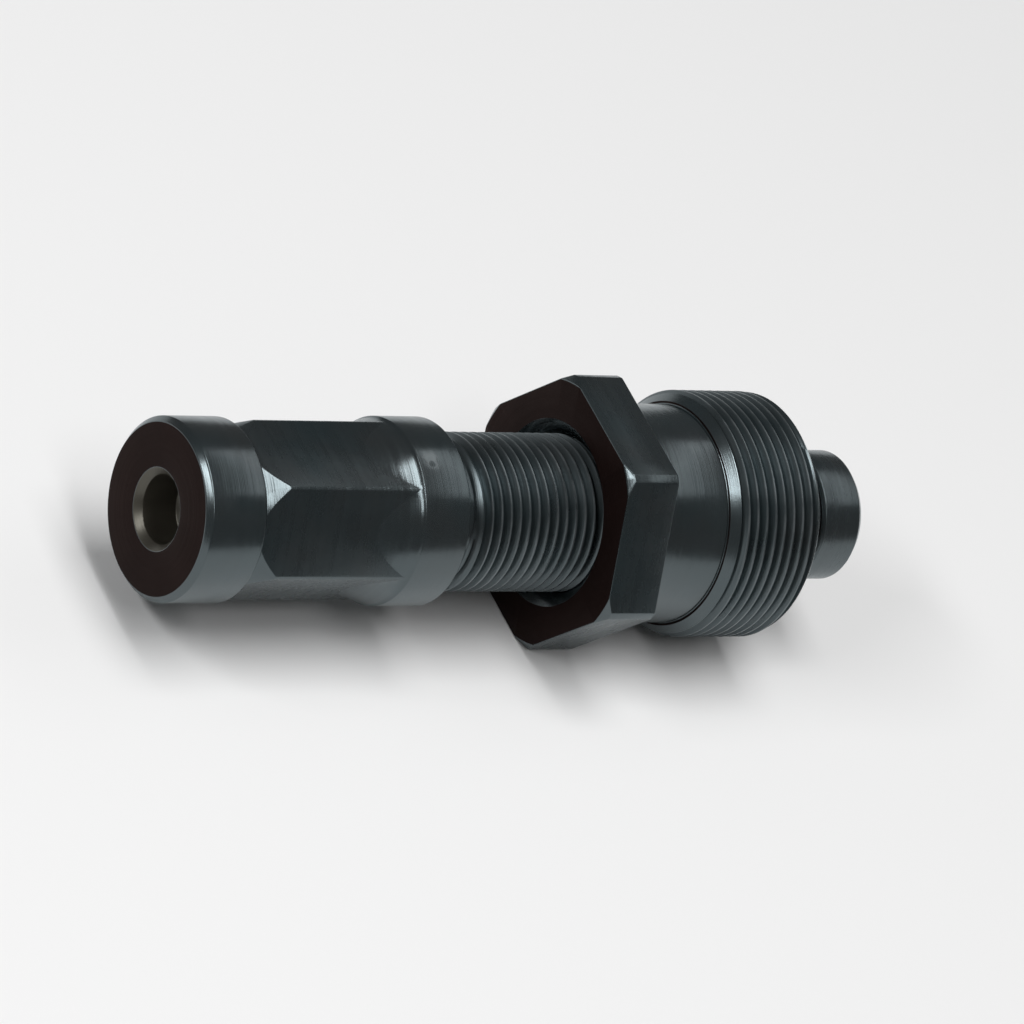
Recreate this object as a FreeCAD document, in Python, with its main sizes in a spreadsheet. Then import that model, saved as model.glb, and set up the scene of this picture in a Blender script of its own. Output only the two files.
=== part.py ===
import FreeCAD, Part
import math
import os
import Sketcher

# Crank puller for a square-taper bicycle crank, in millimetres.
# The axis of the tool is +X, from the driving head to the swivel tip, and +Z is up.
# The origin is on the axis, in the middle of the crank thread.
# The threads stand here as plain cylinders of their outer diameter.

SIZES = [
    # The sleeve, which screws into the crank arm.
    ("sleeve_hex_width", 22.0, "across the flats of the sleeve's hexagon"),
    ("sleeve_corner_diameter", 25.0, "turned diameter over that hexagon's corners"),
    ("sleeve_hex_thickness", 5.3, "length of the sleeve's hexagon"),
    ("hex_chamfer_diameter", 23.8, "circle left flat on the front of the sleeve's hexagon"),
    ("hex_chamfer_angle", 40.0, "slope of that chamfer from the front face"),
    ("neck_diameter", 19.4, "plain neck between the hexagon and the crank thread"),
    ("neck_length", 7.4, "length of that neck"),
    ("crank_thread_diameter", 22.0, "outer diameter of the crank thread"),
    ("crank_thread_length", 10.0, "length of the crank thread"),
    ("crank_thread_chamfer", 1.0, "chamfer on both ends of the crank thread"),
    ("counterbore_diameter", 17.0, "hollow that takes the tip when it is wound back"),
    ("counterbore_depth", 12.0, "depth of that hollow from the threaded end"),
    ("counterbore_chamfer", 0.5, "chamfer on the mouth of that hollow"),
    ("countersink_diameter", 16.6, "countersink of the drive thread in the front face"),
    # The spindle, one turned piece with its driving head.
    ("drive_thread_diameter", 14.0, "outer diameter of the drive thread"),
    ("drive_thread_length", 35.8, "length of the drive thread on the spindle"),
    ("drive_thread_chamfer", 0.7, "chamfer on both ends of the drive thread"),
    ("drive_thread_clearance", 0.05, "radial play between spindle and sleeve"),
    ("head_diameter", 16.0, "round head on the outer end"),
    ("head_length", 6.1, "length of that head"),
    ("head_chamfer", 0.5, "chamfer on the rim of the head's end face"),
    ("head_back_chamfer", 0.25, "chamfer on the back rim of the head"),
    ("end_hole_diameter", 6.0, "drilled hole in the end of the head"),
    ("end_hole_depth", 4.0, "depth of that hole along its wall"),
    ("end_hole_mouth_diameter", 7.2, "countersunk mouth of that hole"),
    ("drill_point_half_angle", 59.0, "half angle of every drill point"),
    ("spindle_hex_width", 14.0, "across the flats of the spindle's hexagon"),
    ("spindle_hex_corner_diameter", 16.0, "turned diameter over the hexagon's corners"),
    ("spindle_hex_length", 16.1, "from the back of the head to the collar"),
    ("undercut_diameter", 13.94, "bottom of the undercut behind the head"),
    ("undercut_length", 2.4, "length of the cone that leads out of the undercut"),
    ("runout_length", 3.9, "length of the cone on which the flats end"),
    ("collar_diameter", 16.5, "collar between the hexagon and the drive thread"),
    ("collar_length", 4.9, "length of that collar"),
    ("collar_edge_chamfer", 0.15, "broken edges of the collar"),
    ("collar_gap", 14.2, "from the collar to the sleeve as it stands here"),
    ("relief_diameter", 12.5, "thread relief beside the collar"),
    ("relief_length", 1.7, "length of that relief"),
    ("nose_diameter", 12.0, "plain nose that follows the drive thread"),
    ("nose_length", 3.0, "length of that nose"),
    ("nose_chamfer", 0.4, "chamfer on the end of the nose"),
    # The swivel tip, which presses on the end of the crank axle.
    ("tip_diameter", 11.6, "disc of the swivel tip"),
    ("tip_thickness", 4.9, "thickness of that disc"),
    ("tip_front_chamfer", 0.8, "chamfer on the front of the disc"),
    ("tip_back_chamfer", 0.3, "chamfer on the back of the disc"),
    ("tip_gap", 0.2, "between the nose and the disc"),
    ("stem_diameter", 6.0, "stem of the swivel tip"),
    ("stem_clearance", 0.05, "radial play of the stem in its bore"),
    ("stem_bore_depth", 11.0, "depth of that bore along its wall"),
    ("stem_bore_chamfer", 0.3, "chamfer on the mouth of that bore"),
    ("seat_diameter", 4.0, "conical seat of the ball in the end of the stem"),
    ("ball_diameter", 5.0, "thrust ball between stem and spindle"),
    ("ball_clearance", 0.02, "play of the ball in each of its two seats"),
    ("ring_wire_diameter", 0.9, "wire of the retaining ring"),
    ("ring_clearance", 0.1, "play round the wire in its two grooves"),
    ("ring_distance", 4.0, "from the end of the nose to the middle of the ring"),
    ("ring_opening", 40.0, "angle left open in the retaining ring"),
]

doc = FreeCAD.newDocument("crank_puller")
sheet = doc.addObject("Spreadsheet::Sheet", "Sizes")
for line, (alias, value, meaning) in enumerate(SIZES, start=1):
    sheet.set("A%d" % line, str(value))
    sheet.set("B%d" % line, meaning)
    sheet.setAlias("A%d" % line, alias)
doc.recompute()


def named(alias):
    """The expression that reads one size from the sheet."""
    return "Sizes." + alias


def plus(*terms):
    """The expression for a sum of expressions."""
    return "(" + " + ".join(terms) + ")"


def minus(first, second):
    """The expression for a difference of two expressions."""
    return "(%s - %s)" % (first, second)


def half(term):
    """The expression for half of another."""
    return "(%s / 2)" % term


def plane(body, role):
    """One of a body's own origin planes, found by its role."""
    for feature in body.Origin.OriginFeatures:
        if feature.Role == role:
            return feature


def add_body(label, place=None):
    """A body whose axis is X, moved along X by the expression place."""
    body = doc.addObject("PartDesign::Body", label)
    body.Label = label
    if place:
        body.setExpression("Placement.Base.x", place)
    return body


def add_sketch(body, name, role):
    """An empty sketch on one of the body's origin planes."""
    sketch = body.newObject("Sketcher::SketchObject", name)
    sketch.AttachmentSupport = [(plane(body, role), "")]
    sketch.MapMode = "FlatFace"
    return sketch


def bind(sketch, index, expression):
    """Ties one constraint of a sketch to the sheet."""
    sketch.setExpression("Constraints[%d]" % index, expression)


def axial_profile(body, name, corners):
    """A closed outline in the XZ plane, each corner an expression pair of station and radius."""
    sketch = add_sketch(body, name, "XZ_Plane")
    spots = []
    for station, radius in corners:
        x = 0.0 if station == "0" else float(sheet.evalExpression(station))
        r = 0.0 if radius == "0" else float(sheet.evalExpression(radius))
        spots.append(FreeCAD.Vector(x, r, 0))
    count = len(spots)
    for i in range(count):
        sketch.addGeometry(Part.LineSegment(spots[i], spots[(i + 1) % count]), False)
    for i in range(count):
        sketch.addConstraint(Sketcher.Constraint("Coincident", i, 2, (i + 1) % count, 1))
    for i, (station, radius) in enumerate(corners):
        if station == "0":
            sketch.addConstraint(Sketcher.Constraint("PointOnObject", i, 1, -2))
        else:
            bind(sketch, sketch.addConstraint(
                Sketcher.Constraint("DistanceX", -1, 1, i, 1, spots[i].x)), station)
        if radius == "0":
            sketch.addConstraint(Sketcher.Constraint("PointOnObject", i, 1, -1))
        else:
            bind(sketch, sketch.addConstraint(
                Sketcher.Constraint("DistanceY", -1, 1, i, 1, spots[i].y)), radius)
    return sketch


def turn(body, name, corners, kind="Revolution"):
    """Turns an outline all the way round X, adding to the body or, as a groove, cutting it."""
    sketch = axial_profile(body, name + "Outline", corners)
    feature = body.newObject("PartDesign::" + kind, name)
    feature.Profile = sketch
    feature.ReferenceAxis = (sketch, ["H_Axis"])
    feature.Angle = 360.0
    sketch.Visibility = False
    return feature


def mill_hexagon(body, name, width, start, length, stock):
    """Mills six flats, one facing down: all outside the hexagon, out to the stock circle, goes."""
    sketch = add_sketch(body, name + "Outline", "YZ_Plane")
    if start != "0":
        sketch.setExpression("AttachmentOffset.Base.z", start)
    apothem = float(sheet.evalExpression(half(width)))
    reach = apothem / math.cos(math.radians(30))
    corners = []
    for i in range(6):
        angle = math.radians(60 * i)
        corners.append(FreeCAD.Vector(reach * math.cos(angle), reach * math.sin(angle), 0))
    for i in range(6):
        sketch.addGeometry(Part.LineSegment(corners[i], corners[(i + 1) % 6]), False)
    for i in range(6):
        sketch.addConstraint(Sketcher.Constraint("Coincident", i, 2, (i + 1) % 6, 1))
    middle = FreeCAD.Vector(0, 0, 0)
    upright = FreeCAD.Vector(0, 0, 1)
    guide = sketch.addGeometry(Part.Circle(middle, upright, reach), True)
    sketch.addConstraint(Sketcher.Constraint("Coincident", guide, 3, -1, 1))
    for i in range(6):
        sketch.addConstraint(Sketcher.Constraint("PointOnObject", i, 1, guide))
    for i in range(5):
        sketch.addConstraint(Sketcher.Constraint("Equal", i, i + 1))
    ray = sketch.addGeometry(Part.LineSegment(middle, corners[0]), True)
    sketch.addConstraint(Sketcher.Constraint("Coincident", ray, 1, -1, 1))
    sketch.addConstraint(Sketcher.Constraint("Coincident", ray, 2, 0, 1))
    sketch.addConstraint(Sketcher.Constraint("Horizontal", ray))
    bind(sketch, sketch.addConstraint(
        Sketcher.Constraint("Radius", guide, reach)), "%s / cos(30)" % half(width))
    edge = float(sheet.evalExpression(half(stock)))
    rim = sketch.addGeometry(Part.Circle(middle, upright, edge), False)
    sketch.addConstraint(Sketcher.Constraint("Coincident", rim, 3, -1, 1))
    bind(sketch, sketch.addConstraint(Sketcher.Constraint("Radius", rim, edge)), half(stock))
    pocket = body.newObject("PartDesign::Pocket", name)
    pocket.Profile = sketch
    pocket.Type = "Length"
    pocket.Reversed = True
    pocket.setExpression("Length", length)
    sketch.Visibility = False
    return pocket


# Stations along the sleeve, from the front of its hexagon.
hex_end = named("sleeve_hex_thickness")
shoulder = plus(hex_end, named("neck_length"))
sleeve_end = plus(shoulder, named("crank_thread_length"))
sleeve_corner = half(named("sleeve_corner_diameter"))
chamfer_radius = half(named("hex_chamfer_diameter"))
chamfer_depth = "((%s - %s) * tan(%s))" % (sleeve_corner, chamfer_radius, named("hex_chamfer_angle"))
crank_radius = half(named("crank_thread_diameter"))
crank_chamfer = named("crank_thread_chamfer")
neck_radius = half(named("neck_diameter"))
drive_bore = plus(half(named("drive_thread_diameter")), named("drive_thread_clearance"))
countersink = half(named("countersink_diameter"))
counterbore = half(named("counterbore_diameter"))
counterbore_floor = minus(sleeve_end, named("counterbore_depth"))

# The mouth's chamfer takes half of the wall that the thread's chamfer leaves it, at most.
end_wall = minus(minus(crank_radius, crank_chamfer), counterbore)
mouth_chamfer = "min(%s; %s)" % (named("counterbore_chamfer"), half(end_wall))

# Stations along the spindle, from the end face of its head.
head_back = named("head_length")
head_radius = half(named("head_diameter"))
head_rim = named("head_chamfer")
head_back_rim = named("head_back_chamfer")
collar_start = plus(head_back, named("spindle_hex_length"))
collar_end = plus(collar_start, named("collar_length"))
thread_start = plus(collar_end, named("relief_length"))
thread_end = plus(thread_start, named("drive_thread_length"))
nose_end = plus(thread_end, named("nose_length"))
hex_radius = half(named("spindle_hex_corner_diameter"))
collar_radius = half(named("collar_diameter"))
edge_break = named("collar_edge_chamfer")
relief_radius = half(named("relief_diameter"))
thread_radius = half(named("drive_thread_diameter"))
thread_chamfer = named("drive_thread_chamfer")
nose_radius = half(named("nose_diameter"))
runout_start = minus(collar_start, named("runout_length"))
flat_radius = half(named("spindle_hex_width"))
point_slope = "tan(%s)" % named("drill_point_half_angle")
hole_radius = half(named("end_hole_diameter"))
hole_mouth = half(named("end_hole_mouth_diameter"))
hole_floor = named("end_hole_depth")
bore_radius = plus(half(named("stem_diameter")), named("stem_clearance"))
bore_floor = minus(nose_end, named("stem_bore_depth"))
bore_point = "(%s - %s / %s)" % (bore_floor, bore_radius, point_slope)

# The ball touches the drill point of the bore and the seat in the stem alike.
ball_radius = half(named("ball_diameter"))
ball_reach = "((%s + %s) / sin(%s))" % (
    ball_radius, named("ball_clearance"), named("drill_point_half_angle"))
ball_middle = plus(bore_point, ball_reach)
stem_radius = half(named("stem_diameter"))
seat_radius = half(named("seat_diameter"))
seat_depth = "(%s / %s)" % (seat_radius, point_slope)
stem_end = minus(plus(ball_middle, ball_reach), seat_depth)

# The ring lies half in the wall of the bore and half in the stem.
wire_radius = half(named("ring_wire_diameter"))
groove_half_width = plus(wire_radius, named("ring_clearance"))
ring_middle = minus(nose_end, named("ring_distance"))
ring_radius = bore_radius
bore_groove = plus(ring_radius, groove_half_width)
stem_groove = minus(ring_radius, groove_half_width)

# Where each piece lies: the origin is in the middle of the crank thread.
sleeve_place = "-(%s + %s)" % (shoulder, half(named("crank_thread_length")))
spindle_place = "(%s - %s - %s)" % (sleeve_place, named("collar_gap"), collar_end)

sleeve = add_body("sleeve", sleeve_place)
turn(sleeve, "SleeveBlank", [
    ("0", countersink),
    ("0", chamfer_radius),
    (chamfer_depth, sleeve_corner),
    (hex_end, sleeve_corner),
    (hex_end, neck_radius),
    (shoulder, neck_radius),
    (shoulder, minus(crank_radius, crank_chamfer)),
    (plus(shoulder, crank_chamfer), crank_radius),
    (minus(sleeve_end, crank_chamfer), crank_radius),
    (sleeve_end, minus(crank_radius, crank_chamfer)),
    (sleeve_end, plus(counterbore, mouth_chamfer)),
    (minus(sleeve_end, mouth_chamfer), counterbore),
    (counterbore_floor, counterbore),
    (counterbore_floor, drive_bore),
    (minus(countersink, drive_bore), drive_bore),
])
mill_hexagon(sleeve, "SleeveFlats", named("sleeve_hex_width"), "0", hex_end,
             "(1.2 * %s)" % named("sleeve_corner_diameter"))

spindle = add_body("spindle", spindle_place)
turn(spindle, "SpindleBlank", [
    ("0", "0"),
    ("0", minus(head_radius, head_rim)),
    (head_rim, head_radius),
    (minus(head_back, head_back_rim), head_radius),
    (head_back, minus(head_radius, head_back_rim)),
    (head_back, half(named("undercut_diameter"))),
    (plus(head_back, named("undercut_length")), hex_radius),
    (collar_start, hex_radius),
    (collar_start, minus(collar_radius, edge_break)),
    (plus(collar_start, edge_break), collar_radius),
    (minus(collar_end, edge_break), collar_radius),
    (collar_end, minus(collar_radius, edge_break)),
    (collar_end, relief_radius),
    (thread_start, relief_radius),
    (thread_start, minus(thread_radius, thread_chamfer)),
    (plus(thread_start, thread_chamfer), thread_radius),
    (minus(thread_end, thread_chamfer), thread_radius),
    (thread_end, minus(thread_radius, thread_chamfer)),
    (thread_end, nose_radius),
    (minus(nose_end, named("nose_chamfer")), nose_radius),
    (nose_end, minus(nose_radius, named("nose_chamfer"))),
    (nose_end, "0"),
])
mill_hexagon(spindle, "SpindleFlats", named("spindle_hex_width"), head_back,
             named("spindle_hex_length"), "(1.2 * %s)" % named("collar_diameter"))
turn(spindle, "FlatRunout", [
    (runout_start, "0"),
    (runout_start, flat_radius),
    (collar_start, minus(collar_radius, edge_break)),
    (collar_start, "0"),
])
turn(spindle, "EndHole", [
    ("0", "0"),
    ("0", hole_mouth),
    (minus(hole_mouth, hole_radius), hole_radius),
    (hole_floor, hole_radius),
    ("(%s + %s / %s)" % (hole_floor, hole_radius, point_slope), "0"),
], "Groove")
turn(spindle, "StemBore", [
    (bore_point, "0"),
    (bore_floor, bore_radius),
    (minus(ring_middle, groove_half_width), bore_radius),
    (minus(ring_middle, groove_half_width), bore_groove),
    (plus(ring_middle, groove_half_width), bore_groove),
    (plus(ring_middle, groove_half_width), bore_radius),
    (minus(nose_end, named("stem_bore_chamfer")), bore_radius),
    (nose_end, plus(bore_radius, named("stem_bore_chamfer"))),
    (nose_end, "0"),
], "Groove")

# The stem is drawn in the spindle's stations, so that seat and groove meet their partners.
tip_back = plus(nose_end, named("tip_gap"))
tip_front = plus(tip_back, named("tip_thickness"))
tip_radius = half(named("tip_diameter"))
stem_edge = named("stem_bore_chamfer")
swivel_tip = add_body("swivel_tip", spindle_place)
turn(swivel_tip, "TipBlank", [
    (plus(stem_end, seat_depth), "0"),
    (stem_end, seat_radius),
    (stem_end, minus(stem_radius, stem_edge)),
    (plus(stem_end, stem_edge), stem_radius),
    (minus(ring_middle, groove_half_width), stem_radius),
    (minus(ring_middle, groove_half_width), stem_groove),
    (plus(ring_middle, groove_half_width), stem_groove),
    (plus(ring_middle, groove_half_width), stem_radius),
    (tip_back, stem_radius),
    (tip_back, minus(tip_radius, named("tip_back_chamfer"))),
    (plus(tip_back, named("tip_back_chamfer")), tip_radius),
    (minus(tip_front, named("tip_front_chamfer")), tip_radius),
    (tip_front, minus(tip_radius, named("tip_front_chamfer"))),
    (tip_front, "0"),
])

# A round wire bent to an open ring. The torus starts at its own X axis, turned here to +Y.
ring = doc.addObject("Part::Torus", "tip_retaining_ring")
ring.Label = "tip_retaining_ring"
ring.setExpression("Radius1", ring_radius)
ring.setExpression("Radius2", wire_radius)
ring.setExpression("Angle3", "360 - %s" % named("ring_opening"))
ring.Placement = FreeCAD.Placement(
    FreeCAD.Vector(0, 0, 0), FreeCAD.Rotation(FreeCAD.Vector(0, 1, 0), 90))
ring.setExpression("Placement.Base.x", plus(spindle_place, ring_middle))

ball = doc.addObject("Part::Sphere", "thrust_ball")
ball.Label = "thrust_ball"
ball.setExpression("Radius", ball_radius)
ball.setExpression("Placement.Base.x", plus(spindle_place, ball_middle))

doc.recompute()

os.makedirs("parts", exist_ok=True)
for piece in doc.Objects:
    if "Invalid" in piece.State or "Error" in piece.State:
        raise RuntimeError("%s did not recompute: %s" % (piece.Name, piece.State))
for cut in [o for o in doc.Objects if o.TypeId in ("PartDesign::Pocket", "PartDesign::Groove")]:
    if cut.Shape.Volume >= cut.BaseFeature.Shape.Volume - 0.01:
        raise RuntimeError("%s cuts nothing" % cut.Name)
for node in (sleeve, spindle, swivel_tip, ring, ball):
    if node.Shape.isNull() or not node.Shape.isValid():
        raise RuntimeError("%s has no valid shape" % node.Label)
    node.Shape.exportStep("parts/%s.step" % node.Label)
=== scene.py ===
import logging
import math
from abc import ABC, abstractmethod
from collections.abc import Callable
from dataclasses import dataclass
from enum import Enum

import bmesh
import bpy
from mathutils import Matrix, Vector


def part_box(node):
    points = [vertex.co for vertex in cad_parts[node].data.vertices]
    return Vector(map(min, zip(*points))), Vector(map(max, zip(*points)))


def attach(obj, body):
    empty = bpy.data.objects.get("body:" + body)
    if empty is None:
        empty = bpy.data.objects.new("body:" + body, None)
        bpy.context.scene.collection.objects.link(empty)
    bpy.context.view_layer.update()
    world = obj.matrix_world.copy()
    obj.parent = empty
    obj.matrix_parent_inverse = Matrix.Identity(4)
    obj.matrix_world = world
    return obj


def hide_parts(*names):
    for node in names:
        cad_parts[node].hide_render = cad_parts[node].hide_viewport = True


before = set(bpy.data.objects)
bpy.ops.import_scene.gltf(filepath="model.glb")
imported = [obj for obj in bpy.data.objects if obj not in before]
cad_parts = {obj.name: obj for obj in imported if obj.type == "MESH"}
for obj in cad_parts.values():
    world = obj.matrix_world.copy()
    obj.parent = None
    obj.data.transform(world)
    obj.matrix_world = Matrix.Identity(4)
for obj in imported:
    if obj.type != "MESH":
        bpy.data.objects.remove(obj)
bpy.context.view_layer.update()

LOG = logging.getLogger("crank_puller")

Outline = list[tuple[float, float]]
Point = tuple[float, float, float]
Colour = tuple[float, float, float]
Span = tuple[float, float]
Geometry = list[bmesh.types.BMVert | bmesh.types.BMEdge | bmesh.types.BMFace]
Socket = bpy.types.NodeSocket

# A millimetre in metres, and a full turn in radians.
MM = 0.001
FULL_TURN = 2 * math.pi
# Steps of a full turn, and of the sixth of it that holds one flat.
STEPS = 120
WEDGE_STEPS = STEPS // 6
# Steps of the arc at a rounded corner, and the share of a side that it may use.
ARC_STEPS = 3
ARC_SHARE = 0.45
# How near points are one point, and how near a cutting plane they lie on it, in metres.
SAME_POINT = 2e-7
ON_PLANE = 1e-8
# A face is square to the axis when its normal has more than this along it.
SQUARE_ON = 0.995
# Edges that bend more than the first stay sharp; those of a flat below the second aren't softened.
SHARP_ANGLE = math.radians(32)
SMOOTH_ANGLE = math.radians(8)
# Stations of the front faces of the spindle's head and of the sleeve, in millimetres.
HEAD_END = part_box("spindle")[0].x / MM
SLEEVE_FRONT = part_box("sleeve")[0].x / MM


class Surface(Enum):
    """Kinds of surface with a finish of their own, by the number that their faces hold."""

    ROUND = 0
    FLAT = 1
    THREAD = 2
    FACE = 3
    HOLE = 4


class Facing(Enum):
    """Which way the faces of an open shell look."""

    OUTWARD = 1.0
    INWARD = -1.0


class Side(Enum):
    """Which part of a turned surface is left by a flat."""

    INSIDE = "the part under the flat"
    OUTSIDE = "the part over the flat"
    BOTH = "all of it"


class Grain(Enum):
    """Noise by what it draws, as cells in each metre and octaves."""

    FINE_MARKS = (9000.0, 1.0)
    FEED_BANDS = (1500.0, 2.0)
    RAGGED_EDGE = (1000.0, 2.0)
    OIL_SMEARS = (420.0, 6.0)
    THIN_OXIDE = (140.0, 4.0)
    STEEL_GRAIN = (2500.0, 3.0)


class NodeSheet:
    """A short way to lay out the nodes of one material."""

    def __init__(self, name: str) -> None:
        """Starts a material with a bare shader.

        Args:
            name: name of the material.
        """
        self.material = bpy.data.materials.new(name)
        self.material.use_nodes = True
        self.tree = self.material.node_tree
        self.tree.nodes.clear()
        output = self.tree.nodes.new("ShaderNodeOutputMaterial")
        self.shader = self.tree.nodes.new("ShaderNodeBsdfPrincipled")
        self.link(self.shader.outputs["BSDF"], output.inputs["Surface"])
        self.place = self.tree.nodes.new("ShaderNodeTexCoord")

    def link(self, source: Socket, target: Socket) -> None:
        """Joins two sockets."""
        self.tree.links.new(source, target)

    def station_and_radius(self) -> tuple[Socket, Socket]:
        """Reads off where a point of the object lies, in metres.

        Returns:
            Its station along the axis and its distance from the axis.
        """
        split = self.tree.nodes.new("ShaderNodeSeparateXYZ")
        self.link(self.place.outputs["Object"], split.inputs[0])
        across = self.math("POWER", split.outputs["Y"], 2.0)
        upright = self.math("POWER", split.outputs["Z"], 2.0)
        return split.outputs["X"], self.math("SQRT", self.math("ADD", across, upright))

    def distance(self, spot: Point) -> Socket:
        """Measures how far a point of the object lies from a spot, in metres.

        Args:
            spot: place of the spot, in metres.

        Returns:
            The distance's socket.
        """
        node = self.tree.nodes.new("ShaderNodeVectorMath")
        node.operation = "DISTANCE"
        self.link(self.place.outputs["Object"], node.inputs[0])
        node.inputs[1].default_value = spot
        return node.outputs["Value"]

    def math(self, kind: str, *terms: float | Socket) -> Socket:
        """Works out a sum.

        Args:
            kind: the operation.
            terms: numbers or sockets.

        Returns:
            The result's socket.
        """
        node = self.tree.nodes.new("ShaderNodeMath")
        node.operation = kind
        for socket, term in zip(node.inputs, terms):
            if isinstance(term, (int, float)):
                socket.default_value = term
            else:
                self.link(term, socket)
        return node.outputs[0]

    def noise(self, grain: Grain, along: Socket | None = None) -> Socket:
        """Makes noise all over the object, or along one measure.

        Args:
            grain: what the noise draws.
            along: the measure that the noise varies with, for noise of rings or bands.

        Returns:
            The noise's value, from 0 to 1.
        """
        node = self.tree.nodes.new("ShaderNodeTexNoise")
        node.inputs["Scale"].default_value, node.inputs["Detail"].default_value = grain.value
        if along is None:
            self.link(self.place.outputs["Object"], node.inputs["Vector"])
        else:
            node.noise_dimensions = "1D"
            self.link(along, node.inputs["W"])
        return node.outputs["Fac"]

    def ramp(self, value: Socket, taken: Span, given: Span) -> Socket:
        """Maps a value from one span to another and holds it there.

        Args:
            value: the value's socket.
            taken: the span of the value that counts.
            given: what the two ends of that span become.

        Returns:
            The mapped value's socket.
        """
        node = self.tree.nodes.new("ShaderNodeMapRange")
        self.link(value, node.inputs["Value"])
        for key, number in zip(("From Min", "From Max", "To Min", "To Max"), taken + given):
            node.inputs[key].default_value = number
        return node.outputs["Result"]

    def blend(self, share: Socket, first: Colour | Socket, second: Colour | Socket) -> Socket:
        """Mixes two colours by a share.

        Args:
            share: how much of the second colour there is.
            first: a colour or the socket of one.
            second: a colour or the socket of one.

        Returns:
            The mixed colour's socket.
        """
        node = self.tree.nodes.new("ShaderNodeMix")
        node.data_type = "RGBA"
        self.link(share, node.inputs["Factor"])
        for key, colour in (("A", first), ("B", second)):
            if isinstance(colour, tuple):
                node.inputs[key].default_value = (*colour, 1.0)
            else:
                self.link(colour, node.inputs[key])
        return node.outputs["Result"]

    def bump(self, height: Socket, depth: float) -> None:
        """Raises the surface.

        Args:
            height: how high each point stands, from 0 to 1.
            depth: what a height of 1 is, in metres.
        """
        node = self.tree.nodes.new("ShaderNodeBump")
        node.inputs["Strength"].default_value = 1.0
        node.inputs["Distance"].default_value = depth
        self.link(height, node.inputs["Height"])
        self.link(node.outputs["Normal"], self.shader.inputs["Normal"])


@dataclass(frozen=True)
class Finish(ABC):
    """A finish for one kind of surface.

    Args:
        name: name of the material.
        surface: the kind of surface that gets it.
    """

    name: str
    surface: Surface

    @abstractmethod
    def build(self) -> bpy.types.Material:
        """Builds the material."""


@dataclass(frozen=True)
class Nick:
    """A dark spot of painted shade for a pit, beside a pale, ragged scuff, in millimetres.

    Args:
        spot: middle of the pit.
        pit: distances from its middle at which the pit begins and has ended.
        pit_painted_shade: colour of the pit.
        scuff_offset: how far along Y the scuff's middle lies from the pit's.
        scuff: distances from its middle at which the scuff begins and has ended.
        scuff_share: how much the scuff covers.
        scuff_tone: colour of the scuff.
        raggedness: how much the scuff's edge wanders.
    """

    spot: Point
    pit: Span = (0.20, 0.40)
    pit_painted_shade: Colour = (0.003, 0.004, 0.004)
    scuff_offset: float = 0.5
    scuff: Span = (0.9, 1.6)
    scuff_share: float = 0.8
    scuff_tone: Colour = (0.105, 0.115, 0.118)
    raggedness: float = 0.9

    def mark(self, sheet: NodeSheet, colour: Socket) -> Socket:
        """Lays the scuff and the painted shade of the pit over a colour.

        Args:
            sheet: the material's nodes.
            colour: the colour to mark.

        Returns:
            The marked colour.
        """
        x, y, z = (part * MM for part in self.spot)
        ragged = sheet.math("MULTIPLY", sheet.noise(Grain.RAGGED_EDGE), self.raggedness * MM)
        reach = sheet.math("ADD", sheet.distance((x, y + self.scuff_offset * MM, z)), ragged)
        near, far = self.scuff
        scuff = sheet.ramp(reach, (near * MM, far * MM), (self.scuff_share, 0.0))
        colour = sheet.blend(scuff, colour, self.scuff_tone)
        # The pit is only a dark spot of painted shade, with no shape of its own.
        near, far = self.pit
        pit = sheet.ramp(sheet.distance((x, y, z)), (near * MM, far * MM), (1.0, 0.0))
        return sheet.blend(pit, colour, self.pit_painted_shade)


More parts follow.
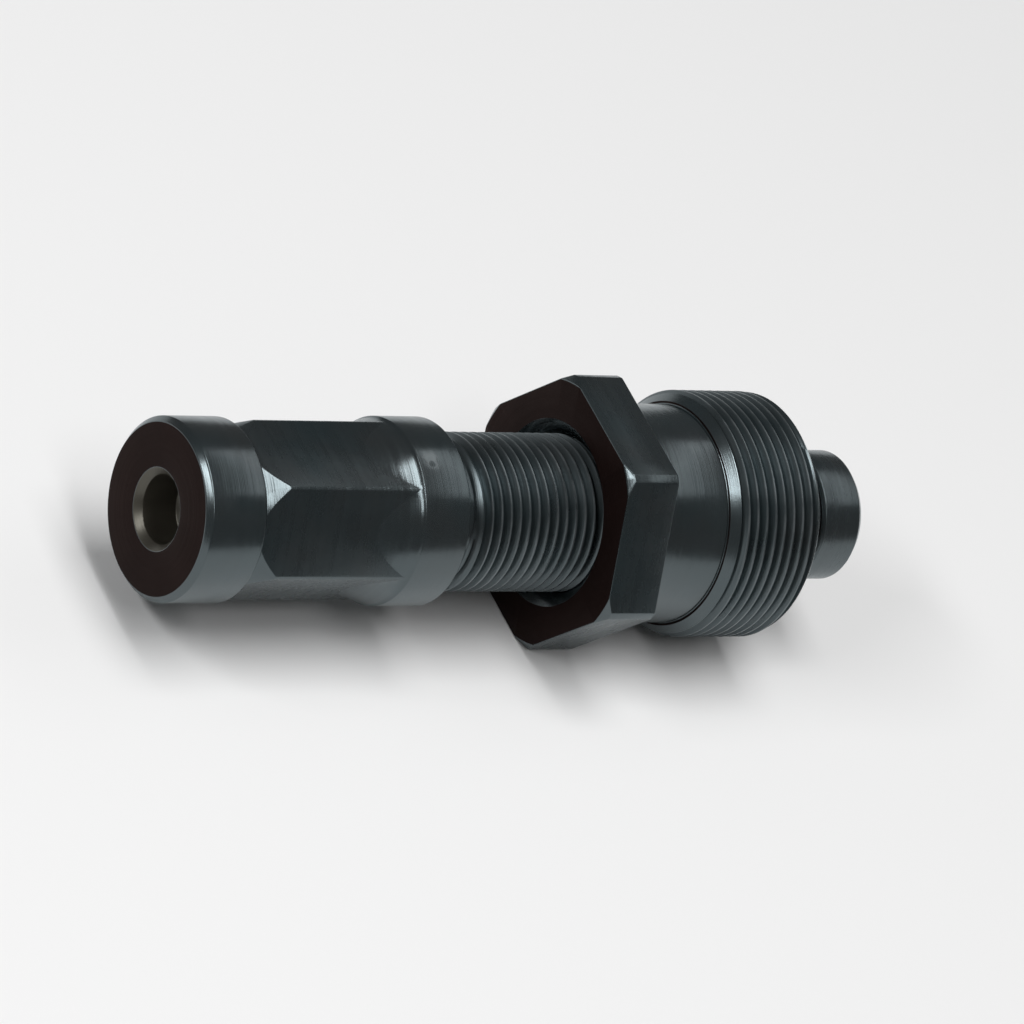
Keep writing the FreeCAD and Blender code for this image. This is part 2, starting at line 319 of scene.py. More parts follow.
@dataclass(frozen=True)
class BlackOxide(Finish):
    """Blackened, oiled steel with the marks of its cutter.

    Args:
        tone: the blue-black of most of the surface.
        warm: the brown-black where the oxide is thin; on faces square to the axis this brown is a
            painted warm reflection.
        warm_share: how far the brown goes where it is strongest.
        thin_oxide: noise values at which the brown begins and is strongest.
        roughness: mean roughness.
        smear_spread: how much the oil's smears change the roughness.
        band_spread: how much the cutter's bands change it.
        sheen: strength of the oily reflection, from 0 to 1.
        cast: colour of that reflection.
        mark_depth: height of the bands, in millimetres.
        fine_share: height of the fine marks as a share of that.
        smear_share: height of the smears as a share of that.
        crest_radius: radius of a thread's crests that are rubbed bright, in millimetres.
        crest_width: how far down the rubbing goes, in millimetres.
        crest_tone: colour of the rubbed crests.
        crest_patches: noise values at which the rubbing is weakest and strongest.
        crest_least: the rubbing where it is weakest.
        nick: damage at one spot, with the painted shade of a pit.
    """

    tone: Colour = (0.008, 0.014, 0.016)
    warm: Colour = (0.020, 0.014, 0.012)
    warm_share: float = 0.45
    thin_oxide: Span = (0.30, 0.75)
    roughness: float = 0.22
    smear_spread: float = 0.16
    band_spread: float = 0.10
    sheen: float = 0.95
    cast: Colour = (0.80, 0.95, 1.00)
    mark_depth: float = 0.013
    fine_share: float = 0.5
    smear_share: float = 0.35
    crest_radius: float = 0.0
    crest_width: float = 0.10
    crest_tone: Colour = (0.075, 0.082, 0.086)
    crest_patches: Span = (0.35, 0.65)
    crest_least: float = 0.1
    nick: Nick | None = None

    @classmethod
    def milled(cls, name: str) -> "BlackOxide":
        """The duller finish of milled flats, with shallow strokes across them."""
        return cls(name, Surface.FLAT, roughness=0.28, sheen=0.6, mark_depth=0.004)

    @classmethod
    def threaded(cls, name: str, crest_radius: float) -> "BlackOxide":
        """The finish of a thread, rubbed bright on its crests."""
        return cls(name, Surface.THREAD, roughness=0.3, crest_radius=crest_radius)

    @classmethod
    def faced(cls, name: str) -> "BlackOxide":
        """The dull finish of a face square to the axis, whose brown-black colour and warm cast are
        a painted warm reflection.

        Args:
            name: name of the material.

        Returns:
            The finish.
        """
        # Painted reflection: the brown tone, the brown warm and the warm cast stand in for a warm
        # reflection on these faces.
        return cls(
            name, Surface.FACE, tone=(0.009, 0.0054, 0.0049), warm=(0.015, 0.0083, 0.0076),
            warm_share=0.9, roughness=0.42, sheen=0.02, cast=(1.00, 0.80, 0.75))

    def build(self) -> bpy.types.Material:
        """Builds the material, with rings on a face and else with bands along the axis.

        Returns:
            The material.
        """
        sheet = NodeSheet(self.name)
        station, radius = sheet.station_and_radius()
        along = radius if self.surface is Surface.FACE else station
        fine = sheet.noise(Grain.FINE_MARKS, along)
        bands = sheet.noise(Grain.FEED_BANDS, along)
        smears = sheet.noise(Grain.OIL_SMEARS)
        shade = sheet.ramp(sheet.noise(Grain.THIN_OXIDE), self.thin_oxide, (0.0, self.warm_share))
        colour = sheet.blend(shade, self.tone, self.warm)
        if self.crest_radius:
            crests = sheet.ramp(
                radius, ((self.crest_radius - self.crest_width) * MM, self.crest_radius * MM),
                (0.0, 1.0))
            patches = sheet.ramp(smears, self.crest_patches, (self.crest_least, 1.0))
            colour = sheet.blend(sheet.math("MULTIPLY", crests, patches), colour, self.crest_tone)
        if self.nick:
            colour = self.nick.mark(sheet, colour)
        sheet.link(colour, sheet.shader.inputs["Base Color"])
        uneven = sheet.math(
            "MULTIPLY_ADD", smears, self.smear_spread, self.roughness - self.smear_spread / 2)
        uneven = sheet.math("SUBTRACT", uneven, self.band_spread / 2)
        uneven = sheet.math("MULTIPLY_ADD", bands, self.band_spread, uneven)
        sheet.link(uneven, sheet.shader.inputs["Roughness"])
        sheet.shader.inputs["Metallic"].default_value = 0.2
        sheet.shader.inputs["IOR"].default_value = 1.72
        sheet.shader.inputs["Specular IOR Level"].default_value = self.sheen
        sheet.shader.inputs["Specular Tint"].default_value = (*self.cast, 1.0)
        height = sheet.math("MULTIPLY_ADD", fine, self.fine_share, bands)
        height = sheet.math("MULTIPLY_ADD", smears, self.smear_share, height)
        sheet.bump(height, self.mark_depth * MM)
        return sheet.material


@dataclass(frozen=True)
class BareSteel(Finish):
    """Bright steel, drawn or polished.

    Args:
        tone: its colour.
        roughness: mean roughness.
        shade: brightness of the darkest grains against the tone.
        spread: how much the grain changes the roughness.
        grain_depth: height of the grain, in millimetres.
    """

    tone: Colour
    roughness: float
    shade: float = 0.8
    spread: float = 0.1
    grain_depth: float = 0.001

    def build(self) -> bpy.types.Material:
        """Builds the material.

        Returns:
            The material.
        """
        sheet = NodeSheet(self.name)
        grain = sheet.noise(Grain.STEEL_GRAIN)
        darker = tuple(self.shade * part for part in self.tone)
        sheet.link(sheet.blend(grain, darker, self.tone), sheet.shader.inputs["Base Color"])
        uneven = sheet.math("MULTIPLY_ADD", grain, self.spread, self.roughness - self.spread / 2)
        sheet.link(uneven, sheet.shader.inputs["Roughness"])
        sheet.shader.inputs["Metallic"].default_value = 1.0
        sheet.bump(grain, self.grain_depth * MM)
        return sheet.material


@dataclass(frozen=True)
class Corner:
    """One corner of a turned outline, in millimetres.

    Args:
        station: place along the axis.
        radius: distance from the axis.
        rounding: radius of the arc that softens the corner, or 0 for a sharp one.
    """

    station: float
    radius: float
    rounding: float = 0.0

    @property
    def spot(self) -> Vector:
        """The corner's station and radius as a vector."""
        return Vector((self.station, self.radius))


def soften(corners: list[Corner]) -> Outline:
    """Turns corners into points, with a short arc at each rounded corner.

    Args:
        corners: the corners of an open outline, in order.

    Returns:
        Points as pairs of station and radius, in millimetres.
    """
    points: Outline = []
    for i, corner in enumerate(corners):
        here = corner.spot
        if corner.rounding <= 0 or i in (0, len(corners) - 1):
            points.append((here.x, here.y))
            continue
        back = corners[i - 1].spot - here
        ahead = corners[i + 1].spot - here
        bend = math.pi - back.angle(ahead)
        reach = corner.rounding * math.tan(bend / 2)
        reach = min(reach, ARC_SHARE * back.length, ARC_SHARE * ahead.length)
        first = here + back.normalized() * reach
        last = here + ahead.normalized() * reach
        for k in range(ARC_STEPS + 1):
            share = k / ARC_STEPS
            flat = first.lerp(here, share).lerp(here.lerp(last, share), share)
            points.append((flat.x, flat.y))
    return points


class Workpiece:
    """A mesh in the making, turned and milled about the X axis."""

    def __init__(self, name: str) -> None:
        """Starts an empty workpiece that will be an object of that name."""
        self.name = name
        self.mesh = bmesh.new()

    def everything(self) -> Geometry:
        """All points, edges and faces, in order."""
        return [*self.mesh.verts, *self.mesh.edges, *self.mesh.faces]

    def chain(self, outline: Outline) -> Geometry:
        """Draws an outline as a chain of edges on the side of the axis towards +Y.

        Args:
            outline: points as pairs of station and radius, in millimetres.

        Returns:
            The new points and edges.
        """
        verts = [self.mesh.verts.new((x * MM, r * MM, 0.0)) for x, r in outline]
        edges = [self.mesh.edges.new(pair) for pair in zip(verts, verts[1:])]
        return verts + edges

    def spin(self, geometry: Geometry, angle: float, steps: int, travel: float = 0.0) -> None:
        """Spins geometry about the axis.

        Args:
            geometry: what to spin.
            angle: angle of the whole spin, in radians.
            steps: number of steps.
            travel: advance along the axis over the whole spin, in millimetres.
        """
        bmesh.ops.spin(
            self.mesh, geom=geometry, cent=(0, 0, 0), axis=(1, 0, 0),
            dvec=(travel * MM / steps, 0, 0), angle=angle, steps=steps,
            use_merge=travel == 0 and angle == FULL_TURN,
        )

    def turn(self, corners: list[Corner]) -> None:
        """Turns an open outline all the way round."""
        self.spin(self.chain(soften(corners)), FULL_TURN, STEPS)
        self.weld()

    def weld(self) -> None:
        """Merges points that lie on one another."""
        bmesh.ops.remove_doubles(self.mesh, verts=self.mesh.verts, dist=SAME_POINT)

    def face_out(self) -> None:
        """Makes all faces look the same way, outwards where the mesh is closed."""
        bmesh.ops.recalc_face_normals(self.mesh, faces=self.mesh.faces)

    def look(self, facing: Facing) -> None:
        """Turns the faces of an open shell away from the axis or towards it.

        Args:
            facing: the way they have to look.
        """
        self.face_out()
        lean = 0.0
        for face in self.mesh.faces:
            middle = face.calc_center_median()
            lean += face.normal.dot(Vector((0, middle.y, middle.z)).normalized()) * face.calc_area()
        if lean * facing.value < 0:
            bmesh.ops.reverse_faces(self.mesh, faces=self.mesh.faces)

    def take(self, other: "Workpiece", surface: Surface) -> None:
        """Moves another workpiece's faces into this one.

        Args:
            other: the workpiece to take over.
            surface: the kind of surface that its faces are.
        """
        for face in other.mesh.faces:
            face.material_index = surface.value
        donor = bpy.data.meshes.new(other.name)
        other.mesh.to_mesh(donor)
        other.mesh.free()
        self.mesh.from_mesh(donor)
        bpy.data.meshes.remove(donor)

    def mark_faces(self) -> None:
        """Marks what is square to the axis."""
        for face in self.mesh.faces:
            if abs(face.normal.x) > SQUARE_ON:
                face.material_index = Surface.FACE.value

    def finish(self, finishes: list[Finish]) -> bpy.types.Object:
        """Makes the object, dressed, and shaded smooth but for its true edges.

        Args:
            finishes: one for each kind of surface that the workpiece has.

        Returns:
            The finished object.
        """
        slots = {finish.surface.value: slot for slot, finish in enumerate(finishes)}
        for face in self.mesh.faces:
            face.material_index = slots[face.material_index]
        data = bpy.data.meshes.new(self.name)
        self.mesh.to_mesh(data)
        self.mesh.free()
        for finish in finishes:
            data.materials.append(finish.build())
        data.polygons.foreach_set("use_smooth", [True] * len(data.polygons))
        data.set_sharp_from_angle(angle=SHARP_ANGLE)
        piece = bpy.data.objects.new(self.name, data)
        bpy.context.scene.collection.objects.link(piece)
        return piece


@dataclass(frozen=True)
class Hexagon:
    """Six flats milled on a turned section, with a corner towards +Y, in millimetres.

    Args:
        across_flats: spanner size.
        edge_break: width of the softened edges of the flats.
    """

    across_flats: float
    edge_break: float

    def plane(self, k: int) -> tuple[Vector, Vector]:
        """Places one of the flats.

        Args:
            k: number of the flat, counted from the corner towards +Y.

        Returns:
            A point on the flat, in metres, and its outward direction.
        """
        angle = math.radians(30 + 60 * k)
        normal = Vector((0, math.cos(angle), math.sin(angle)))
        return normal * (self.across_flats / 2 * MM), normal

    def wedge(self, work: Workpiece, outline: Outline, keep: Side) -> None:
        """Adds one sixth of a turned surface, cut by the first flat's plane.

        Args:
            work: the workpiece that gets it.
            outline: outline of the surface.
            keep: the part of it that is left.
        """
        before = set(work.everything())
        work.spin(work.chain(outline), math.radians(60), WEDGE_STEPS)
        point, normal = self.plane(0)
        bmesh.ops.bisect_plane(
            work.mesh, geom=[part for part in work.everything() if part not in before],
            dist=ON_PLANE, plane_co=point, plane_no=normal,
            clear_outer=keep is Side.INSIDE, clear_inner=keep is Side.OUTSIDE,
        )

    def close(self, work: Workpiece) -> None:
        """Repeats the wedge round the axis, fills the six flats and softens their edges.

        Args:
            work: the workpiece, which holds the wedge.
        """
        wedge = work.everything()
        for k in range(1, 6):
            copy = bmesh.ops.duplicate(work.mesh, geom=wedge)["geom"]
            bmesh.ops.rotate(
                work.mesh, cent=(0, 0, 0),
                matrix=Matrix.Rotation(math.radians(60 * k), 3, "X"),
                verts=[v for v in copy if isinstance(v, bmesh.types.BMVert)],
            )
        work.weld()
        flats = []
        for point, normal in map(self.plane, range(6)):
            rim = [
                e for e in work.mesh.edges if e.is_boundary
                and all(abs((v.co - point).dot(normal)) < SAME_POINT for v in e.verts)
            ]
            flats += bmesh.ops.edgeloop_fill(work.mesh, edges=rim)["faces"]
        for face in flats:
            face.material_index = Surface.FLAT.value
        work.face_out()
        edges = [
            e for f in flats for e in f.edges
            if len(e.link_faces) == 2 and e.is_convex and e.calc_face_angle() > SMOOTH_ANGLE
        ]
        bmesh.ops.bevel(
            work.mesh, geom=edges, offset=self.edge_break * MM, offset_type="OFFSET",
            segments=2, profile=0.5, affect="EDGES", clamp_overlap=True, material=-1,
        )


@dataclass(frozen=True)
class Thread:
    """A screw thread, right-handed along +X, in millimetres.

    Every thread has the middle of a ridge at station zero on the side towards +Y, so the two
    threads of a pair mesh.

    Args:
        pitch_radius: radius at which ridge and groove are equally wide.
        outer_radius: flat of the ridges.
        inner_radius: flat of the grooves.
        start: first station.
        end: last station.
        pitch: advance in one turn.
        flank: lean of the flanks, in degrees.
    """

    pitch_radius: float
    outer_radius: float
    inner_radius: float
    start: float
    end: float
    pitch: float = 1.0
    flank: float = 30.0

    def ridge(self) -> Outline:
        """Draws one pitch of the thread.

        Returns:
            Points from the middle of a groove to the foot of the ridge before the next.
        """
        slope = math.tan(math.radians(self.flank))
        top = self.pitch / 4 - (self.outer_radius - self.pitch_radius) * slope
        foot = self.pitch / 4 + (self.pitch_radius - self.inner_radius) * slope
        middle = (top + foot) / 2
        level = (self.outer_radius + self.inner_radius) / 2
        return [
            (-self.pitch / 2, self.inner_radius), (-foot, self.inner_radius), (-middle, level),
            (-top, self.outer_radius), (top, self.outer_radius), (middle, level),
            (foot, self.inner_radius),
        ]

    def cut(self, name: str, limit: Callable[[float], float], facing: Facing) -> Workpiece:
        """Cuts the thread as a shell of its own.

        Args:
            name: name of the shell.
            limit: radius that the thread may not pass at a station, as on its chamfered ends.
            facing: outward for a thread on a shaft, inward for one in a hole.

        Returns:
            The shell.
        """
        shell = Workpiece(name)
        turns = range(math.floor(self.start / self.pitch) - 1, math.ceil(self.end / self.pitch) + 2)
        outline = [(n * self.pitch + x, r) for n in turns for x, r in self.ridge()]
        shell.spin(shell.chain(outline), FULL_TURN, STEPS, self.pitch)
        shell.weld()
        for vert in shell.mesh.verts:
            radius = math.hypot(vert.co.y, vert.co.z)
            edge = limit(vert.co.x / MM) * MM
            wanted = min(radius, edge) if facing is Facing.OUTWARD else max(radius, edge)
            vert.co.y *= wanted / radius
            vert.co.z *= wanted / radius
        for station, sign in ((self.start, -1), (self.end, 1)):
            bmesh.ops.bisect_plane(
                shell.mesh, geom=shell.everything(), dist=ON_PLANE,
                plane_co=(station * MM, 0, 0), plane_no=(sign, 0, 0), clear_outer=True,
            )
        shell.look(facing)
        return shell


@dataclass(frozen=True)
class Groove:
    """A square groove for the retaining ring, in the spindle's stations.

    Args:
        start: station of its first wall.
        end: station of its second wall.
        radius: radius of its floor.
    """

    start: float
    end: float
    radius: float

    def corners(self, wall: float) -> list[Corner]:
        """Draws the groove, from its start to its end.

        Args:
            wall: radius of the wall that it is cut in.

        Returns:
            Its four corners.
        """
        start, end = HEAD_END + self.start, HEAD_END + self.end
        return [
            Corner(start, wall), Corner(start, self.radius),
            Corner(end, self.radius), Corner(end, wall),
        ]


@dataclass
class Sleeve:
    """The sleeve that screws into the crank arm, in millimetres from its front face."""

    hexagon: Hexagon = Hexagon(22.0, 0.12)
    corner_radius: float = 12.5
    hexagon_length: float = 5.3
    chamfer_radius: float = 11.9
    chamfer_depth: float = 0.503
    countersink_radius: float = 8.3
    neck_radius: float = 9.7
    neck_fillet: float = 0.3
    fillet_throat: float = 0.05
    shoulder: float = 12.7
    end: float = 22.7
    bore_radius: float = 7.10
    hollow_radius: float = 8.5
    hollow_floor: float = 10.7
    hollow_chamfer: float = 0.5
    crank_crest_radius: float = 10.98
    crank_pitch_radius: float = 10.66
    crank_root_radius: float = 10.38
    crank_thread_chamfer: float = 1.0
    plain_chamfer: float = 0.7
    drive_root_radius: float = 7.05
    drive_pitch_radius: float = 6.695
    drive_crest_radius: float = 6.46
    core_depth: float = 0.06
    overlap: float = 0.02
    rim_rounding: float = 0.15
    edge_rounding: float = 0.1
    back_rounding: float = 0.12
    mouth_rounding: float = 0.05
    floor_rounding: float = 0.3

    def build(self) -> bpy.types.Object:
        """Turns, mills and threads the sleeve.

        Returns:
            The finished object.
        """
        body = Workpiece("sleeve_steel")
        self.mill(body)
        self.turn(body)
        body.face_out()
        self.thread(body)
        body.mark_faces()
        return body.finish([
            BlackOxide("sleeve_turned", Surface.ROUND),
            BlackOxide.milled("sleeve_milled"),
            BlackOxide.threaded("sleeve_threaded", self.crank_crest_radius),
            BlackOxide.faced("sleeve_faced"),
        ])

    def mill(self, body: Workpiece) -> None:
        """Makes the chamfered hexagon.

        Args:
            body: the workpiece that gets it.
        """
        at = SLEEVE_FRONT
        back = at + self.hexagon_length
        self.hexagon.wedge(body, soften([
            Corner(at, self.countersink_radius),
            Corner(at, self.chamfer_radius, self.rim_rounding),
            Corner(at + self.chamfer_depth, self.corner_radius, self.edge_rounding),
            Corner(back, self.corner_radius, self.back_rounding),
            Corner(back, self.neck_radius + self.neck_fillet),
        ]), Side.INSIDE)
        self.hexagon.close(body)

    def turn(self, body: Workpiece) -> None:
        """Turns the neck, the core under the crank thread, the hollow and the bore.

        Args:
            body: the workpiece that gets them.
        """
        at = SLEEVE_FRONT
        back = at + self.hexagon_length
        shoulder = at + self.shoulder
        end = at + self.end
        core = self.crank_root_radius - self.core_depth
        low = self.crank_crest_radius - self.crank_thread_chamfer
        lip = low + self.plain_chamfer
        body.turn([
            Corner(back, self.neck_radius + self.neck_fillet),
            Corner(back + self.fillet_throat, self.neck_radius + self.fillet_throat),
            Corner(back + self.neck_fillet, self.neck_radius),
            Corner(shoulder, self.neck_radius, self.edge_rounding),
            Corner(shoulder, low),
            Corner(shoulder + self.plain_chamfer, lip),
            Corner(shoulder + self.plain_chamfer, core),
            Corner(end - self.plain_chamfer, core),
            Corner(end - self.plain_chamfer, lip),
            Corner(end, low),
            Corner(end, self.hollow_radius + self.hollow_chamfer, self.mouth_rounding),
            Corner(end - self.hollow_chamfer, self.hollow_radius, self.mouth_rounding),
            Corner(at + self.hollow_floor, self.hollow_radius, self.floor_rounding),
            Corner(at + self.hollow_floor, self.bore_radius),
            Corner(at + self.countersink_radius - self.bore_radius, self.bore_radius),
            Corner(at, self.countersink_radius),
        ])

    def thread(self, body: Workpiece) -> None:
        """Cuts the crank thread on the outside and the drive thread in the bore.

        Args:
            body: the workpiece that gets them.
        """
        crank = Thread(
            self.crank_pitch_radius, self.crank_crest_radius, self.crank_root_radius,
            start=SLEEVE_FRONT + self.shoulder + self.plain_chamfer - self.overlap,
            end=SLEEVE_FRONT + self.end - self.plain_chamfer + self.overlap)
        drive = Thread(
            self.drive_pitch_radius, self.drive_root_radius, self.drive_crest_radius,
            start=SLEEVE_FRONT + self.countersink_radius - self.bore_radius,
            end=SLEEVE_FRONT + self.hollow_floor)
        body.take(crank.cut("crank_thread", self.crank_limit, Facing.OUTWARD), Surface.THREAD)
        body.take(drive.cut("sleeve_drive_thread", self.drive_limit, Facing.INWARD), Surface.ROUND)

    def crank_limit(self, station: float) -> float:
        """Gives the crank thread its chamfered ends.

        Args:
            station: a station, in millimetres.

        Returns:
            Largest radius of the thread there.
        """
        at = station - SLEEVE_FRONT
        near = min(at - self.shoulder, self.end - at)
        return self.crank_crest_radius - self.crank_thread_chamfer + near

    def drive_limit(self, station: float) -> float:
        """Gives the drive thread its countersunk ends.

        Args:
            station: a station, in millimetres.

        Returns:
            Smallest radius of the thread there.
        """
        at = station - SLEEVE_FRONT
        widest = self.bore_radius + self.overlap
        front = self.countersink_radius - at
        back = widest - (self.hollow_floor - at)
        return min(max(front, back), widest)


@dataclass
class Spindle:
    """The spindle with its driving head, in millimetres from the head's end face."""

    hexagon: Hexagon = Hexagon(14.0, 0.09)
    head_radius: float = 8.0
    head_length: float = 6.1
    head_chamfer: float = 0.5
    head_back_chamfer: float = 0.25
    hole_radius: float = 3.0
    hole_mouth_radius: float = 3.6
    hole_depth: float = 4.0
    drill_point: float = 59.0
    drill_web: float = 0.25
    undercut_radius: float = 6.97
    undercut_length: float = 2.4
    corner_radius: float = 8.0
    runout_start: float = 18.3
    runout_overlap: float = 0.1
    collar_start: float = 22.2
    collar_end: float = 27.1
    collar_radius: float = 8.25
    collar_chamfer: float = 0.15
    relief_radius: float = 6.25
    thread_start: float = 28.8
    thread_end: float = 64.6
    crest_radius: float = 6.975
    pitch_radius: float = 6.655
    root_radius: float = 6.37
    thread_sink: float = 0.04
    nose_radius: float = 6.0
    nose_chamfer: float = 0.4
    nose_end: float = 67.6
    stem_bore_radius: float = 3.05
    stem_bore_floor: float = 56.6
    stem_bore_chamfer: float = 0.3
    ring_groove: Groove = Groove(63.05, 64.15, 3.6)
    nick: Nick = Nick((-35.3, -2.0, 8.0))
    cone_rounding: float = 0.3
    drill_rounding: float = 0.2
    edge_rounding: float = 0.1
    mouth_rounding: float = 0.08
    end_rounding: float = 0.12
    rim_rounding: float = 0.15
    relief_rounding: float = 0.35

    def build(self) -> bpy.types.Object:
        """Turns, mills and threads the spindle.

        Returns:
            The finished object.
        """
        body = Workpiece("spindle_steel")
        self.mill(body)
        self.turn_head(body)
        self.turn_shank(body)
        body.face_out()
        self.thread(body)
        body.mark_faces()
        self.mark_hole(body)
        return body.finish([
            BlackOxide("spindle_turned", Surface.ROUND, nick=self.nick),
            BlackOxide.milled("spindle_milled"),
            BlackOxide.threaded("spindle_threaded", self.crest_radius),
            BlackOxide.faced("spindle_faced"),
            # Painted light: the drilled hole gets a paler colour than the rest, standing in for
            # light that reaches into the hole.
            BlackOxide("spindle_drilled_painted_light", Surface.HOLE, tone=(0.030, 0.028, 0.022),
                       warm=(0.042, 0.036, 0.028), roughness=0.35, sheen=0.6,
                       cast=(1.00, 0.97, 0.85)),
        ])

    def mill(self, body: Workpiece) -> None:
        """Makes the hexagon, the cone that leads to it and the cone that its flats end on.

        Args:
            body: the workpiece that gets them.
        """
        at = HEAD_END
        flat = self.hexagon.across_flats / 2
        collar_edge = self.collar_radius - self.collar_chamfer
        rise = (collar_edge - flat) / (self.collar_start - self.runout_start)
        corner_end = at + (self.runout_start + (self.corner_radius - flat) / rise)
        self.hexagon.wedge(body, soften([
            Corner(at + self.head_length, self.undercut_radius),
            Corner(at + self.head_length + self.undercut_length, self.corner_radius,
                   self.cone_rounding),
            Corner(corner_end, self.corner_radius),
        ]), Side.INSIDE)
        self.hexagon.wedge(body, [
            (at + self.runout_start - self.runout_overlap / rise, flat - self.runout_overlap),
            (corner_end, self.corner_radius),
        ], Side.OUTSIDE)
        self.hexagon.wedge(body, [
            (corner_end, self.corner_radius),
            (at + self.collar_start, collar_edge),
        ], Side.BOTH)
        self.hexagon.close(body)

    def drill_cone(self, radius: float) -> float:
        """Length of the cone that the drill leaves at the bottom of a hole of that radius."""
        return (radius - self.drill_web) / math.tan(math.radians(self.drill_point))

    def turn_head(self, body: Workpiece) -> None:
        """Turns the head, from the bottom of its hole to the undercut behind it.

        Args:
            body: the workpiece that gets it.
        """
        at = HEAD_END
        back = at + self.head_length
        bottom = at + self.hole_depth + self.drill_cone(self.hole_radius)
        body.turn([
            Corner(bottom, 0.0),
            Corner(bottom, self.drill_web, self.drill_rounding),
            Corner(at + self.hole_depth, self.hole_radius, self.edge_rounding),
            Corner(at + self.hole_mouth_radius - self.hole_radius, self.hole_radius,
                   self.edge_rounding),
            Corner(at, self.hole_mouth_radius, self.mouth_rounding),
            Corner(at, self.head_radius - self.head_chamfer, self.end_rounding),
            Corner(at + self.head_chamfer, self.head_radius, self.rim_rounding),
            Corner(back - self.head_back_chamfer, self.head_radius, self.end_rounding),
            Corner(back, self.head_radius - self.head_back_chamfer),
            Corner(back, self.undercut_radius),
        ])

    def turn_shank(self, body: Workpiece) -> None:
        """Turns the collar, the core under the thread, the nose and the bore for the tip's stem.

        Args:
            body: the workpiece that gets them.
        """
        at = HEAD_END
        collar_start = at + self.collar_start
        collar_end = at + self.collar_end
        collar_edge = self.collar_radius - self.collar_chamfer
        nose_end = at + self.nose_end
        bottom = at + self.stem_bore_floor - self.drill_cone(self.stem_bore_radius)
        body.turn([
            Corner(collar_start, collar_edge),
            Corner(collar_start + self.collar_chamfer, self.collar_radius, self.edge_rounding),
            Corner(collar_end - self.collar_chamfer, self.collar_radius, self.edge_rounding),
            Corner(collar_end, collar_edge),
            Corner(collar_end, self.relief_radius, self.relief_rounding),
            Corner(at + self.thread_end, self.relief_radius),
            Corner(at + self.thread_end, self.nose_radius),
            Corner(nose_end - self.nose_chamfer, self.nose_radius, self.edge_rounding),
            Corner(nose_end, self.nose_radius - self.nose_chamfer, self.edge_rounding),
            Corner(nose_end, self.stem_bore_radius + self.stem_bore_chamfer),
            Corner(nose_end - self.stem_bore_chamfer, self.stem_bore_radius),
            *reversed(self.ring_groove.corners(self.stem_bore_radius)),
            Corner(at + self.stem_bore_floor, self.stem_bore_radius),
            Corner(bottom, self.drill_web, self.drill_rounding),
            Corner(bottom, 0.0),
        ])

    def thread(self, body: Workpiece) -> None:
        """Cuts the thread that drives the tip.

        Args:
            body: the workpiece that gets it.
        """
        drive = Thread(
            self.pitch_radius, self.crest_radius, self.root_radius,
            start=HEAD_END + self.thread_start, end=HEAD_END + self.thread_end)
        shell = drive.cut("spindle_drive_thread", self.drive_limit, Facing.OUTWARD)
        body.take(shell, Surface.THREAD)

    def drive_limit(self, station: float) -> float:
        """Lets the thread rise out of the relief and fall to the nose.

        Args:
            station: a station, in millimetres.

        Returns:
            Largest radius of the thread there.
        """
        at = station - HEAD_END
        near = min(at - self.thread_start, self.thread_end - at)
        return self.relief_radius - self.thread_sink + max(0.0, near)

    def mark_hole(self, body: Workpiece) -> None:
        """Marks the drilled hole in the head's end face.

        Args:
            body: the workpiece.
        """
        for face in body.mesh.faces:
            spot = face.calc_center_median() / MM
            if spot.x < HEAD_END + self.head_length and spot.yz.length < self.hole_mouth_radius:
                face.material_index = Surface.HOLE.value


@dataclass
class SwivelTip:
    """The tip that presses on the crank axle, in the spindle's stations, in millimetres."""

    stem_end: float = 59.445
    stem_radius: float = 3.0
    seat_depth: float = 1.202
    seat_radius: float = 2.0
    groove: Groove = Groove(63.05, 64.15, 2.5)
    disc_back: float = 67.8
    disc_front: float = 72.7
    disc_radius: float = 5.8
    back_chamfer: float = 0.3
    front_chamfer: float = 0.8
    back_rounding: float = 0.1
    front_rounding: float = 0.2

    def build(self) -> bpy.types.Object:
        """Turns the tip.

        Returns:
            The finished object.
        """
        stem_end = HEAD_END + self.stem_end
        back = HEAD_END + self.disc_back
        front = HEAD_END + self.disc_front
        tip = Workpiece("swivel_tip_steel")
        tip.turn([
            Corner(stem_end + self.seat_depth, 0.0),
            Corner(stem_end, self.seat_radius),
            Corner(stem_end, self.stem_radius - self.back_chamfer),
            Corner(stem_end + self.back_chamfer, self.stem_radius),
            *self.groove.corners(self.stem_radius),
            Corner(back, self.stem_radius),
            Corner(back, self.disc_radius - self.back_chamfer, self.back_rounding),
            Corner(back + self.back_chamfer, self.disc_radius, self.back_rounding),
            Corner(front - self.front_chamfer, self.disc_radius, self.front_rounding),
            Corner(front, self.disc_radius - self.front_chamfer, self.front_rounding),
            Corner(front, 0.0),
        ])
        tip.face_out()
        tip.mark_faces()
        return tip.finish([
            BlackOxide("tip_turned", Surface.ROUND, roughness=0.26),
            BlackOxide.faced("tip_faced"),
        ])


@dataclass
class RetainingRing:
    """The open wire ring that holds the tip, in the spindle's stations, in millimetres."""

    middle: float = 63.6
    radius: float = 3.05
    wire_radius: float = 0.45
    wire_steps: int = 16
    opening: float = 40.0
    bend_steps: int = 60

    def build(self) -> bpy.types.Object:
        """Bends the wire, with its opening on top.

        Returns:
            The finished object.
        """
        ring = Workpiece("retaining_ring_wire")
        wire = bmesh.ops.create_circle(
            ring.mesh, cap_ends=True, segments=self.wire_steps, radius=self.wire_radius * MM)
        bmesh.ops.translate(
            ring.mesh, verts=wire["verts"],
            vec=((HEAD_END + self.middle) * MM, self.radius * MM, 0))
        bmesh.ops.rotate(
            ring.mesh, verts=wire["verts"], cent=(0, 0, 0),
            matrix=Matrix.Rotation(math.radians(90 + self.opening / 2), 3, "X"))
        ring.spin(list(ring.mesh.faces), math.radians(360 - self.opening), self.bend_steps)
        ring.weld()
        ring.face_out()
        return ring.finish([
            BareSteel("spring_wire", Surface.ROUND, tone=(0.55, 0.55, 0.56), roughness=0.3),
        ])


